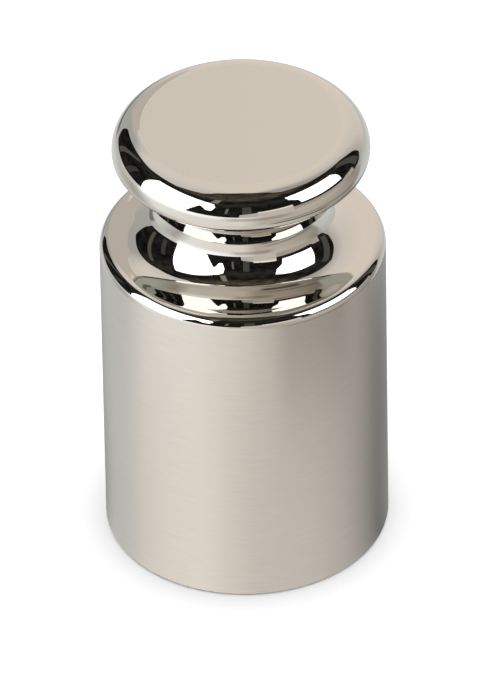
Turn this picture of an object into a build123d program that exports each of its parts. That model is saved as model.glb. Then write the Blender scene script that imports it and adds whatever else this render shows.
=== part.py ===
"""Knob-type calibration weight, turned from one bar.

Millimetres, +Z up, the seat on Z = 0 and the axis of the turning on the Z axis.
"""

from math import acos, degrees, radians, tan
from pathlib import Path

from build123d import *

# --- driving dimensions -----------------------------------------------------------------
body_diameter = 28.0      # the cylinder that carries most of the mass
body_height = 34.0        # seat to the flat of the shoulder
neck_diameter = 15.3      # waist between body and knob
knob_diameter = 25.2      # widest turn of the knob
land = 0.4                # flat ring left between the foot of the neck and the shoulder's edge
foot_height = 4.4         # shoulder to the waist of the neck
groove_radius = 4.8       # hollow that runs the neck out under the knob
lip_radius = 1.5          # lower rounding of the knob's rim
crown_radius = 2.85       # upper rounding of the knob's rim
shoulder_radius = 1.15    # rounding between shoulder and cylinder
seat_radius = 0.5         # rounding between cylinder and seat

density = 8.0e-3          # g/mm3, the steel that weights are made of

# --- derived ----------------------------------------------------------------------------
body_r = body_diameter / 2
neck_r = neck_diameter / 2
# the foot of the neck fills the ledge up to the land
foot_reach = body_r - shoulder_radius - land - neck_r
# groove and lip turn through the same angle, out and back, and together span the overhang
overhang = (knob_diameter - neck_diameter) / 2
swing = degrees(acos(1 - overhang / (groove_radius + lip_radius)))


def bend(before, radius, angle, rise=1.0):
    """A turn tangent to the line before it, drawn as a cubic so that bends in a row join
    into one polished face. A rise below 1 makes it an ellipse, lower than it is wide."""
    arc = JernArc(before @ 1, before % 1, radius, angle, mode=Mode.PRIVATE)
    reach = 4 / 3 * tan(radians(abs(angle)) / 4) * radius
    poles = [arc @ 0, arc @ 0 + arc % 0 * reach, arc @ 1 - arc % 1 * reach, arc @ 1]
    return Bezier(*[(pole.X, poles[0].Y + (pole.Y - poles[0].Y) * rise) for pole in poles])


Path("parts").mkdir(exist_ok=True)

with BuildPart() as weight:
    with BuildSketch(Plane.XZ):
        with BuildLine():
            seat = Line((0, 0), (body_r - seat_radius, 0))
            seat_edge = JernArc(seat @ 1, seat % 1, seat_radius, 90)
            side = Line(seat_edge @ 1, (body_r, body_height - shoulder_radius))
            shoulder_edge = JernArc(side @ 1, side % 1, shoulder_radius, 90)
            shoulder = Line(shoulder_edge @ 1, (neck_r + foot_reach, body_height))
            foot = bend(shoulder, foot_reach, -90, foot_height / foot_reach)
            groove = bend(foot, groove_radius, -swing)
            lip = bend(groove, lip_radius, swing)
            crown = bend(lip, crown_radius, 90)
            top = Line(crown @ 1, (0, (crown @ 1).Y))
            Line(top @ 1, seat @ 0)
        make_face()
    revolve(axis=Axis.Z)

weight.part.label = "weight"
export_step(weight.part, "parts/weight.step")

height = weight.part.bounding_box().size.Z
print(f"height {height:.2f} mm, mass {weight.part.volume * density:.1f} g")
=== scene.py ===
"""Looks of the knob-type calibration weight: finishes, studio and camera around the CAD frame.

Metres, +Z up, the camera's side is -Y. Bearings in the studio are in degrees about the weight:
azimuth 0 towards the camera, positive to the camera's right; elevation above the table.
Polished steel looks like what stands round it, so most of this is the room that it mirrors.
"""

import math

import bpy
from mathutils import Matrix, Vector

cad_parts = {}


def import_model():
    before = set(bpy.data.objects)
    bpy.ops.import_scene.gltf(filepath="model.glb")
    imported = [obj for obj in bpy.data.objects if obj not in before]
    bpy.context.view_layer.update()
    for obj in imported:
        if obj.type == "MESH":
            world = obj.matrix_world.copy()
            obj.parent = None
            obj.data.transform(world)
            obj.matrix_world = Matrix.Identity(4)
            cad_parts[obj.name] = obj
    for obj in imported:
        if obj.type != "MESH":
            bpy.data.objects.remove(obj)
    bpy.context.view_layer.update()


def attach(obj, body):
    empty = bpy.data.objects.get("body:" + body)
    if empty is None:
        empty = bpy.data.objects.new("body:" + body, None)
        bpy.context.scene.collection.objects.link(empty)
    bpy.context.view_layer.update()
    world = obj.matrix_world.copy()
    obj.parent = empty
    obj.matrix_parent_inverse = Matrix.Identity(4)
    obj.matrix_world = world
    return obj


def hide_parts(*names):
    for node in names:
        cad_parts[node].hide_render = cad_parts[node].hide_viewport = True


MM = 0.001

# --- the weight, as in the CAD source (mm) -------------------------------------------------
BODY_R = 14.0
BODY_HEIGHT = 34.0
NECK_R = 7.65
KNOB_R = 12.6
LAND = 0.4
FOOT_HEIGHT = 4.4
GROOVE_RADIUS = 4.8
LIP_RADIUS = 1.5
CROWN_RADIUS = 2.85
SHOULDER_RADIUS = 1.15
SEAT_RADIUS = 0.5
SEGMENTS = 360            # around the axis
ARC_STEP = 2.5            # degrees between rings on a rounding
SIDE_RINGS = 12
DISC_RINGS = 5

# --- finishes ------------------------------------------------------------------------------
STEEL = (0.60, 0.57, 0.515)
MIRROR_ROUGHNESS = 0.03
LAPPED_ROUGHNESS = 0.36    # the knob's flat top
SATIN_ROUGHNESS = 0.32
SATIN_ANISOTROPY = 0.4
QUARTER_TURN = 0.25        # sets the anisotropy across the turning lines
TURNING_LINES = 3400       # noise cells a metre along the axis
TURNING_STREAKS = 90       # and across it
TURNING_DEPTH = 0.10

# --- camera --------------------------------------------------------------------------------
CAMERA_ELEVATION = 37.55
CAMERA_ROLL = 1.03
CAMERA_DISTANCE = 1.2404
CAMERA_AIM = (-0.0002, 0.00126, 0.01879)
CAMERA_FILM = 36          # mm, the frame's height
CAMERA_LENS = 648.2       # mm
CAMERA_CLIP = (0.01, 50)

# --- studio --------------------------------------------------------------------------------
ROOM = 2.0                # distance of the cards
ROOM_CENTRE = Vector((0, 0, 0.04))
TABLE_HALF = 1.0
# The paper's colour is a painted pool of light: brighter than white close to the weight, greyer further
# off.
FLOOR_WHITE = 1.46        # above 1, so that it is white close outside the weight's shade
FLOOR_GREY = 0.82         # further off than the photograph shows
FLOOR_POOL = (0.088, 0.24)
WINDOW_STRENGTH = 1.9     # so bright that it is white after two bounces
BACKDROP_DISTANCE = ROOM * 1.1
IN_FRONT = 0.98           # share of the distance, for a card before another

# Tints, as shares of red, green and blue.
WHITE = (1, 1, 0.99)
GREY = (1, 0.995, 0.955)
WARM = (1, 0.957, 0.905)
BEIGE = (1, 0.944, 0.872)
OLIVE = (1, 0.97, 0.85)
BROWN = (1, 0.90, 0.72)


def bearing(azimuth, elevation, distance=ROOM):
    """The point seen from the weight at that azimuth and elevation."""
    a, e = math.radians(azimuth), math.radians(elevation)
    way = Vector((math.cos(e) * math.sin(a), -math.cos(e) * math.cos(a), math.sin(e)))
    return ROOM_CENTRE + way * distance


# --- shape ---------------------------------------------------------------------------------
def arc(centre, radius, start, end, rise=None):
    """Points and outward normals along an arc. A negative radius is a hollow, and a rise other
    than the radius makes it an ellipse."""
    rise = radius if rise is None else rise
    steps = max(2, math.ceil(abs(end - start) / ARC_STEP))
    points = []
    for i in range(steps + 1):
        t = math.radians(start + (end - start) * i / steps)
        across, along = math.cos(t), math.sin(t)
        normal = Vector((across / abs(radius), along / abs(rise))).normalized()
        points.append((centre[0] + radius * across, centre[1] + rise * along, *normal))
    return points


def disc(radius, z, up):
    """Points and normals from the middle of a flat face to its edge."""
    return [(radius * i / DISC_RINGS, z, 0, up) for i in range(DISC_RINGS + 1)]


def weight_profile():
    """(r, z, normal r, normal z, finish) from the middle of the seat to the middle of the knob."""
    foot_reach = BODY_R - SHOULDER_RADIUS - LAND - NECK_R
    swing = math.acos(1 - (KNOB_R - NECK_R) / (GROOVE_RADIUS + LIP_RADIUS))
    waist_z = BODY_HEIGHT + FOOT_HEIGHT
    rim_z = waist_z + (GROOVE_RADIUS + LIP_RADIUS) * math.sin(swing)
    top_z = rim_z + CROWN_RADIUS
    under = math.degrees(swing)
    side_top = BODY_HEIGHT - SHOULDER_RADIUS

    side = [SEAT_RADIUS + (side_top - SEAT_RADIUS) * i / SIDE_RINGS for i in range(SIDE_RINGS + 1)]

    runs = [
        ("seat", disc(BODY_R - SEAT_RADIUS, 0, -1)),
        ("satin", arc((BODY_R - SEAT_RADIUS, SEAT_RADIUS), SEAT_RADIUS, -90, 0)),
        ("satin", [(BODY_R, z, 1, 0) for z in side]),
        ("mirror", arc((BODY_R - SHOULDER_RADIUS, side_top), SHOULDER_RADIUS, 0, 90)),
        ("mirror", arc((NECK_R + foot_reach, waist_z), -foot_reach, 90, 0, -FOOT_HEIGHT)),
        ("mirror", arc((NECK_R + GROOVE_RADIUS, waist_z), -GROOVE_RADIUS, 0, -under)),
        ("mirror", arc((KNOB_R - LIP_RADIUS, rim_z), LIP_RADIUS, -under, 0)),
        ("mirror", arc((KNOB_R - CROWN_RADIUS, rim_z), CROWN_RADIUS, 0, 90)),
        ("lapped", disc(KNOB_R - CROWN_RADIUS, top_z, 1)[::-1]),
    ]
    return [(*point, finish) for finish, points in runs for point in points]


def turned(name, profile, finishes):
    """A mesh turned from the profile about Z, with the profile's own normals."""
    rings = []
    for point in profile:
        if rings and math.dist(point[:2], rings[-1][:2]) < 1e-6 and point[2:] == rings[-1][2:]:
            continue
        rings.append(point)

    verts, normals, starts = [], [], []
    for r, z, nr, nz, _ in rings:
        starts.append(len(verts))
        for k in range(SEGMENTS if r > 0 else 1):
            t = 2 * math.pi * k / SEGMENTS
            verts.append((r * MM * math.cos(t), r * MM * math.sin(t), z * MM))
            normals.append((nr * math.cos(t), nr * math.sin(t), nz))

    slots = list(finishes)
    faces, indices = [], []
    for a, b, low, high in zip(starts, starts[1:], rings, rings[1:]):
        if math.dist(low[:2], high[:2]) < 1e-6:
            continue
        for k in range(SEGMENTS):
            n = (k + 1) % SEGMENTS
            lower = [a + k, a + n] if low[0] > 0 else [a]
            upper = [b + n, b + k] if high[0] > 0 else [b]
            faces.append(lower + upper)
            indices.append(slots.index(high[4]))

    mesh = bpy.data.meshes.new(name)
    mesh.from_pydata(verts, [], faces)
    for slot in slots:
        mesh.materials.append(finishes[slot])
    for polygon, index in zip(mesh.polygons, indices):
        polygon.use_smooth = True
        polygon.material_index = index
    mesh.normals_split_custom_set_from_vertices([Vector(n).normalized() for n in normals])
    thing = bpy.data.objects.new(name, mesh)
    bpy.context.scene.collection.objects.link(thing)
    return thing


# --- materials -----------------------------------------------------------------------------
def linear(value):
    """A screen value of 0 to 255 as the linear value that shaders take."""
    return value / 255 / 12.92 if value <= 10 else ((value / 255 + 0.055) / 1.055) ** 2.4


def as_seen(brightness, tint):
    """What has to glow for the polished steel to show this screen brightness, tinted."""
    return [linear(brightness * share) / metal for share, metal in zip(tint, STEEL)]


def as_turn(degrees):
    """Degrees from -180 to 180 as 0 to 1."""
    return degrees / 360 + 0.5


class Shading:
    """The node tree of a material or a world, with nodes made and linked in one call."""

    def __init__(self, owner):
        owner.use_nodes = True
        self.owner = owner
        self.tree = owner.node_tree

    def node(self, kind, *inputs, **settings):
        new = self.tree.nodes.new(kind)
        for key, value in settings.items():
            setattr(new, key, value)
        for socket, value in zip(new.inputs, inputs):
            if isinstance(value, bpy.types.NodeSocket):
                self.tree.links.new(value, socket)
            elif value is not None:
                socket.default_value = value
        return new

    def math(self, operation, *inputs):
        return self.node("ShaderNodeMath", *inputs, operation=operation).outputs[0]

    def mix(self, factor, a, b):
        blend = self.node("ShaderNodeMix", data_type="RGBA")
        for name, value in (("Factor", factor), ("A", a), ("B", b)):
            socket = [s for s in blend.inputs if s.name == name and s.enabled][0]
            if isinstance(value, bpy.types.NodeSocket):
                self.tree.links.new(value, socket)
            else:
                socket.default_value = value if name == "Factor" else (*value, 1)
        return [s for s in blend.outputs if s.enabled][0]

    def around(self, radius=0.0):
        """Azimuth about the Z axis as 0 to 1, 0.5 in front; and the distance from the axis.

        With a radius, it is the azimuth in which the side of an upright cylinder of that radius
        mirrors the place to someone on the camera's side. A colour laid out by it holds all the
        way down the cylinder from there, and shows a little shifted from elsewhere.
        """
        place = self.node("ShaderNodeTexCoord").outputs["Object"]
        x, y, _ = self.node("ShaderNodeSeparateXYZ", place).outputs
        squares = self.math("ADD", self.math("POWER", x, 2), self.math("POWER", y, 2))
        distance = self.math("SQRT", squares)
        angle = self.math("ARCTAN2", x, self.math("MULTIPLY", y, -1))
        if radius:
            twice = self.math("MULTIPLY", distance, 2)
            widening = self.math("DIVIDE", twice, self.math("SUBTRACT", twice, radius))
            angle = self.math("MULTIPLY", angle, widening)
        return self.math("MULTIPLY_ADD", angle, 1 / (2 * math.pi), 0.5), distance

    def rise(self, value, start, full):
        """0 up to start, 1 from full on. With start above full it falls instead."""
        blend = self.node("ShaderNodeMapRange", value, start, full, interpolation_type="SMOOTHSTEP")
        return blend.outputs[0]

    def pulse(self, value, start, full, ebb, end):
        """1 between full and ebb, fading to 0 at start and end."""
        return self.math("MULTIPLY", self.rise(value, start, full), self.rise(value, end, ebb))

    def ramp(self, turn, stops):
        """Colours from 0 to 1. stops are (place in degrees from -180 to 180, brightness, tint)."""
        ramp = self.node("ShaderNodeValToRGB", turn)
        elements = ramp.color_ramp.elements
        for i, (degrees, brightness, tint) in enumerate(stops):
            place = as_turn(degrees)
            stop = elements[i] if i < 2 else elements.new(place)
            stop.position = place
            stop.color = (*as_seen(brightness, tint), 1)
        return ramp.outputs["Color"]

    def glow(self, colour, strength=1.0):
        """Light for the metal alone: off for what the floor gets back from the metal."""
        direct = self.math("LESS_THAN", self.node("ShaderNodeLightPath").outputs["Diffuse Depth"], 0.5)
        if not isinstance(colour, bpy.types.NodeSocket):
            colour = (*colour, 1)
        lamp = self.node("ShaderNodeEmission", colour, self.math("MULTIPLY", direct, strength))
        return lamp.outputs[0]

    @property
    def shader(self):
        return self.tree.nodes["Principled BSDF"]

    def surface(self, shader):
        self.tree.nodes.remove(self.shader)
        self.tree.links.new(shader, self.tree.nodes["Material Output"].inputs["Surface"])
        return self.owner


def material(name):
    return Shading(bpy.data.materials.new(name))


def steel(name, roughness):
    paint = material(name)
    paint.shader.inputs["Base Color"].default_value = (*STEEL, 1)
    paint.shader.inputs["Metallic"].default_value = 1
    paint.shader.inputs["Roughness"].default_value = roughness
    return paint


def satin_steel():
    paint = steel("satin_steel", SATIN_ROUGHNESS)
    inputs = paint.shader.inputs
    inputs["Anisotropic"].default_value = SATIN_ANISOTROPY
    inputs["Anisotropic Rotation"].default_value = QUARTER_TURN
    tangent = paint.node("ShaderNodeTangent", direction_type="RADIAL", axis="Z").outputs[0]
    paint.tree.links.new(tangent, inputs["Tangent"])
    place = paint.node("ShaderNodeTexCoord").outputs["Object"]
    stretch = (TURNING_STREAKS, TURNING_STREAKS, TURNING_LINES)
    stretched = paint.node("ShaderNodeMapping", place, None, None, stretch).outputs[0]
    lines = paint.node("ShaderNodeTexNoise", stretched).outputs["Fac"]
    worn = [value * (1 - TURNING_DEPTH) for value in STEEL]
    fresh = [value * (1 + TURNING_DEPTH) for value in STEEL]
    paint.tree.links.new(paint.mix(lines, worn, fresh), inputs["Base Color"])
    return paint


# --- stage ---------------------------------------------------------------------------------
def put(name, verts, faces, made):
    mesh = bpy.data.meshes.new(name)
    mesh.from_pydata(verts, [], faces)
    mesh.materials.append(made)
    thing = bpy.data.objects.new(name, mesh)
    bpy.context.scene.collection.objects.link(thing)
    return thing


def only_in_the_metal(thing):
    thing.visible_camera = False
    thing.visible_diffuse = False
    thing.visible_shadow = False


def card(name, brightness, tint, corners, strength=1.0, distance=ROOM):
    """A glowing card seen only in the metal. corners are its outline in bearings."""
    paint = material(name)
    made = paint.surface(paint.glow(as_seen(brightness, tint), strength))
    verts = [bearing(azimuth, elevation, distance) for azimuth, elevation in corners]
    only_in_the_metal(put(name, verts, [range(len(verts))], made))


# The outline of the pale sweep behind the weight: (elevation, left azimuth, right azimuth).
# It leans over the weight, so close to the zenith it is at its widest.
BACKDROP_ROWS = [(-4, 112, 222), (0, 119, 219), (8, 124, 215), (25, 126, 210), (35, 126, 214),
                 (42, 127, 221), (48, 122, 233), (60, 101, 262), (71, 76, 284), (76, 80, 280),
                 (80, 100, 258), (84, 176, 184)]
BACKDROP_COLUMNS = 20
BACKDROP_COLOURS = [(-180, 208, BEIGE), (-150, 206, WARM), (-130, 199, WARM), (105, 150, WARM),
                    (124, 166, WARM), (140, 197, WARM), (168, 209, BEIGE), (180, 208, BEIGE)]
SHADE_TOP = (36, 46)                        # its lower left is in shade, up to these elevations
SHADE_AZIMUTHS = (-179.5, -158, -110, -100)
SHADE = 158, GREY


def backdrop():
    verts, faces = [], []
    for elevation, left, right in BACKDROP_ROWS:
        for i in range(BACKDROP_COLUMNS + 1):
            azimuth = left + (right - left) * i / BACKDROP_COLUMNS
            verts.append(bearing(azimuth, elevation, BACKDROP_DISTANCE))
    for row in range(len(BACKDROP_ROWS) - 1):
        for i in range(BACKDROP_COLUMNS):
            a = row * (BACKDROP_COLUMNS + 1) + i
            faces.append((a, a + 1, a + BACKDROP_COLUMNS + 2, a + BACKDROP_COLUMNS + 1))

    paint = material("backdrop")
    turn, _ = paint.around()
    place = paint.node("ShaderNodeTexCoord").outputs["Object"]
    height = paint.node("ShaderNodeSeparateXYZ", place).outputs["Z"]
    full, none = (bearing(0, elevation, BACKDROP_DISTANCE).z for elevation in SHADE_TOP)
    across = paint.pulse(turn, *map(as_turn, SHADE_AZIMUTHS))
    shade = paint.math("MULTIPLY", paint.rise(height, none, full), across)
    colour = paint.mix(shade, paint.ramp(turn, BACKDROP_COLOURS), as_seen(*SHADE))
    only_in_the_metal(put("backdrop", verts, faces, paint.surface(paint.glow(colour))))


# The table in the metal, by azimuth: close by, a hand's breadth out, and far out.
# Daylight falls on it from the left, and its right is warmer and darker. The brightnesses were
# tuned until the satin side and the mirror bands came out as light as in the photograph.
TABLE_NEAR = [(-180, 120, GREY), (-150, 171, GREY), (-115, 180, GREY), (-90, 204, WARM), (-38, 221, WARM),
              (5, 195, WARM), (55, 187, WARM), (90, 167, WARM), (140, 95, GREY), (180, 120, GREY)]
TABLE_MIDDLE = [(-180, 185, GREY), (-140, 192, GREY), (-105, 160, WARM), (-80, 222, GREY), (0, 214, WARM),
                (18, 176, BEIGE), (60, 174, BEIGE), (118, 142, BEIGE), (124, 184, GREY), (180, 185, GREY)]
TABLE_FAR = [(-180, 180, GREY), (-150, 166, GREY), (-97, 195, GREY), (-90, 255, WHITE), (-44, 255, WHITE),
             (8, 214, WARM), (18, 190, BEIGE), (85, 170, BEIGE), (108, 134, BEIGE), (125, 176, GREY),
             (180, 180, GREY)]
MIDDLE_FROM = (0.048, 0.070)
FAR_FROM = (0.12, 0.30)
# Darker patches in its mirrored colours: (distances, azimuths, how dark). Each fades in and out.
TABLE_PATCHES = [((0.045, 0.053, 0.058, 0.068), (20, 36, 84, 98), 0.90),
                 ((0.070, 0.076, 0.084, 0.094), (20, 45, 112, 119), 0.42),
                 ((0.18, 0.24, 0.70, 1.00), (-176, -168, -150, -144), 0.70),
                 ((0.13, 0.16, 0.30, 0.40), (-22, -6, 30, 48), 0.38)]
PATCH = 60, BROWN


def table():
    """Paper where it is looked at, with a painted pool of light about the weight and greyer further off;
    and in the metal a lit table.
    """
    paint = material("table")
    turn, distance = paint.around(BODY_R * MM)
    near, middle, far = (paint.ramp(turn, stops) for stops in (TABLE_NEAR, TABLE_MIDDLE, TABLE_FAR))
    mirrored = paint.mix(paint.rise(distance, *MIDDLE_FROM), near, middle)
    mirrored = paint.mix(paint.rise(distance, *FAR_FROM), mirrored, far)
    for reach, azimuths, darkness in TABLE_PATCHES:
        sector = paint.pulse(turn, *map(as_turn, azimuths))
        there = paint.math("MULTIPLY", paint.pulse(distance, *reach), sector)
        mirrored = paint.mix(paint.math("MULTIPLY", there, darkness), mirrored, as_seen(*PATCH))

    # Painted pool of light: the paper is brighter than white within FLOOR_POOL of the weight and grey
    # beyond it.
    paper = paint.mix(paint.rise(distance, *FLOOR_POOL), [FLOOR_WHITE] * 3, [FLOOR_GREY] * 3)
    seen = paint.node("ShaderNodeBsdfDiffuse", paper).outputs[0]
    camera_ray = paint.node("ShaderNodeLightPath").outputs["Is Camera Ray"]
    both = paint.node("ShaderNodeMixShader", camera_ray, paint.glow(mirrored), seen).outputs[0]
    half = TABLE_HALF
    corners = [(-half, -half, 0), (half, -half, 0), (half, half, 0), (-half, half, 0)]
    put("table", corners, [(0, 1, 2, 3)], paint.surface(both))


# The dark room in the metal, by elevation; near the zenith the ceiling shows brown.
ROOM_COLOURS = [(-90, 30, BEIGE), (10, 25, BEIGE), (30, 18, GREY), (45, 36, OLIVE), (56, 22, BEIGE),
                (64, 62, BROWN), (90, 50, BROWN)]
BLOTCH_SCALE = 9.0
BLOTCH_DETAIL = 3.0
BLOTCH_EDGES = (0.35, 0.65)   # noise values at the darkest and the lightest
BLOTCH_LEVELS = (0.55, 1.6)   # and how bright those are


def world():
    """White light for the floor, and for the metal the dark room."""
    made = bpy.data.worlds.new("studio")
    bpy.context.scene.world = made
    paint = Shading(made)
    way = paint.node("ShaderNodeTexCoord").outputs["Generated"]
    height = paint.node("ShaderNodeSeparateXYZ", way).outputs["Z"]
    elevation = paint.math("MULTIPLY_ADD", paint.math("ARCSINE", height), 1 / math.pi, 0.5)
    stops = [(degrees * 2, brightness, tint) for degrees, brightness, tint in ROOM_COLOURS]
    room = paint.ramp(elevation, stops)
    blotch = paint.node("ShaderNodeTexNoise", way, None, BLOTCH_SCALE, BLOTCH_DETAIL).outputs["Fac"]
    level = paint.node("ShaderNodeMapRange", blotch, *BLOTCH_EDGES, *BLOTCH_LEVELS).outputs[0]
    glossy = paint.node("ShaderNodeLightPath").outputs["Is Glossy Ray"]
    strength = paint.math("ADD", paint.math("MULTIPLY", glossy, level), paint.math("SUBTRACT", 1, glossy))
    background = paint.tree.nodes["Background"]
    paint.tree.links.new(paint.mix(glossy, (1, 1, 1), room), background.inputs["Color"])
    paint.tree.links.new(strength, background.inputs["Strength"])


def windows():
    """Two windows in front; plants and a ledge cut into the left one's lower right."""
    card("window_left", 252, WHITE,
         [(-91, -4), (-91, 6), (-94, 30), (-98, 47), (-68, 49), (-40, 46), (-35, 46), (-27, 42), (-24, 31),
          (-26, 17), (-31, 18.5), (-35, 27), (-38, 30), (-41, 20), (-46, 2), (-48, -4)], WINDOW_STRENGTH)
    card("window_right", 252, WHITE,
         [(51, 16), (70, 14), (93, 12), (97, 28), (100, 41), (62, 50), (46, 49), (45, 38), (51, 28)],
         WINDOW_STRENGTH)


def furniture():
    """The pale and grey things that show between and beside the windows."""
    card("paper", 188, BEIGE, [(13, -4), (13, 15), (43, 17), (43, -4)])
    card("paper_edge", 232, WARM, [(13, 12), (13, 15.5), (43, 18), (43, 14)], distance=ROOM * IN_FRONT)
    card("shelf", 158, BEIGE, [(43, -4), (43, 9), (60, 6.5), (92, 5), (98, 8), (108, 8), (108, -4)])
    card("box", 172, GREY, [(-3, -4), (-2, 8), (13, 13.5), (13, -4)], distance=ROOM * IN_FRONT)
    card("post", 66, OLIVE, [(0, 9), (0, 37), (8, 38), (8, 11)])
    card("chrome", 100, OLIVE, [(-14.5, 12), (-14, 31), (-11.5, 31), (-12, 12)])
    card("ledge", 120, OLIVE, [(-33, 48), (-33, 61), (-25, 61), (-25, 47)])
    card("door_left", 78, OLIVE, [(-133, 2), (-131, 40), (-126, 40), (-128, 2)])
    card("chair_left", 58, OLIVE, [(-114, 2), (-112, 27), (-106, 27), (-107, 2)])
    card("door_right", 70, OLIVE, [(111, 4), (112, 42), (121, 42), (119, 4)])


SCREEN_LEFT, SCREEN_RIGHT = -0.045, -0.012
SCREEN_BOTTOM, SCREEN_TOP = 0.07, 0.115
SCREEN_BEHIND = 0.09


def screen():
    """A dull card close behind the weight to the left; the left of the shoulder shows it."""
    paint = material("screen")
    made = paint.surface(paint.glow(as_seen(178, BEIGE)))
    corners = [(SCREEN_RIGHT, SCREEN_BEHIND, SCREEN_BOTTOM), (SCREEN_LEFT, SCREEN_BEHIND, SCREEN_BOTTOM),
               (SCREEN_LEFT, SCREEN_BEHIND, SCREEN_TOP), (SCREEN_RIGHT, SCREEN_BEHIND, SCREEN_TOP)]
    only_in_the_metal(put("screen", corners, [(0, 1, 2, 3)], made))


def studio():
    world()
    table()
    windows()
    furniture()
    backdrop()
    screen()


def camera():
    data = bpy.data.cameras.new("camera")
    thing = bpy.data.objects.new("camera", data)
    bpy.context.scene.collection.objects.link(thing)
    bpy.context.scene.camera = thing
    e = math.radians(CAMERA_ELEVATION)
    right = Vector((1, 0, 0))
    back = Vector((0, -math.cos(e), math.sin(e)))
    up = back.cross(right)
    turn = Matrix((right, up, back)).transposed() @ Matrix.Rotation(-math.radians(CAMERA_ROLL), 3, "Z")
    thing.matrix_world = Matrix.Translation(Vector(CAMERA_AIM) + back * CAMERA_DISTANCE) @ turn.to_4x4()
    data.sensor_width = CAMERA_FILM
    data.lens = CAMERA_LENS
    data.clip_start, data.clip_end = CAMERA_CLIP


# --- scene ---------------------------------------------------------------------------------
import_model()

finishes = {
    "seat": steel("seat_steel", SATIN_ROUGHNESS).owner,
    "satin": satin_steel().owner,
    "mirror": steel("mirror_steel", MIRROR_ROUGHNESS).owner,
    "lapped": steel("lapped_steel", LAPPED_ROUGHNESS).owner,
}
weight = turned("weight_finished", weight_profile(), finishes)
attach(weight, "root")
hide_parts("weight")

studio()
camera()
bpy.context.scene.view_settings.view_transform = "Standard"
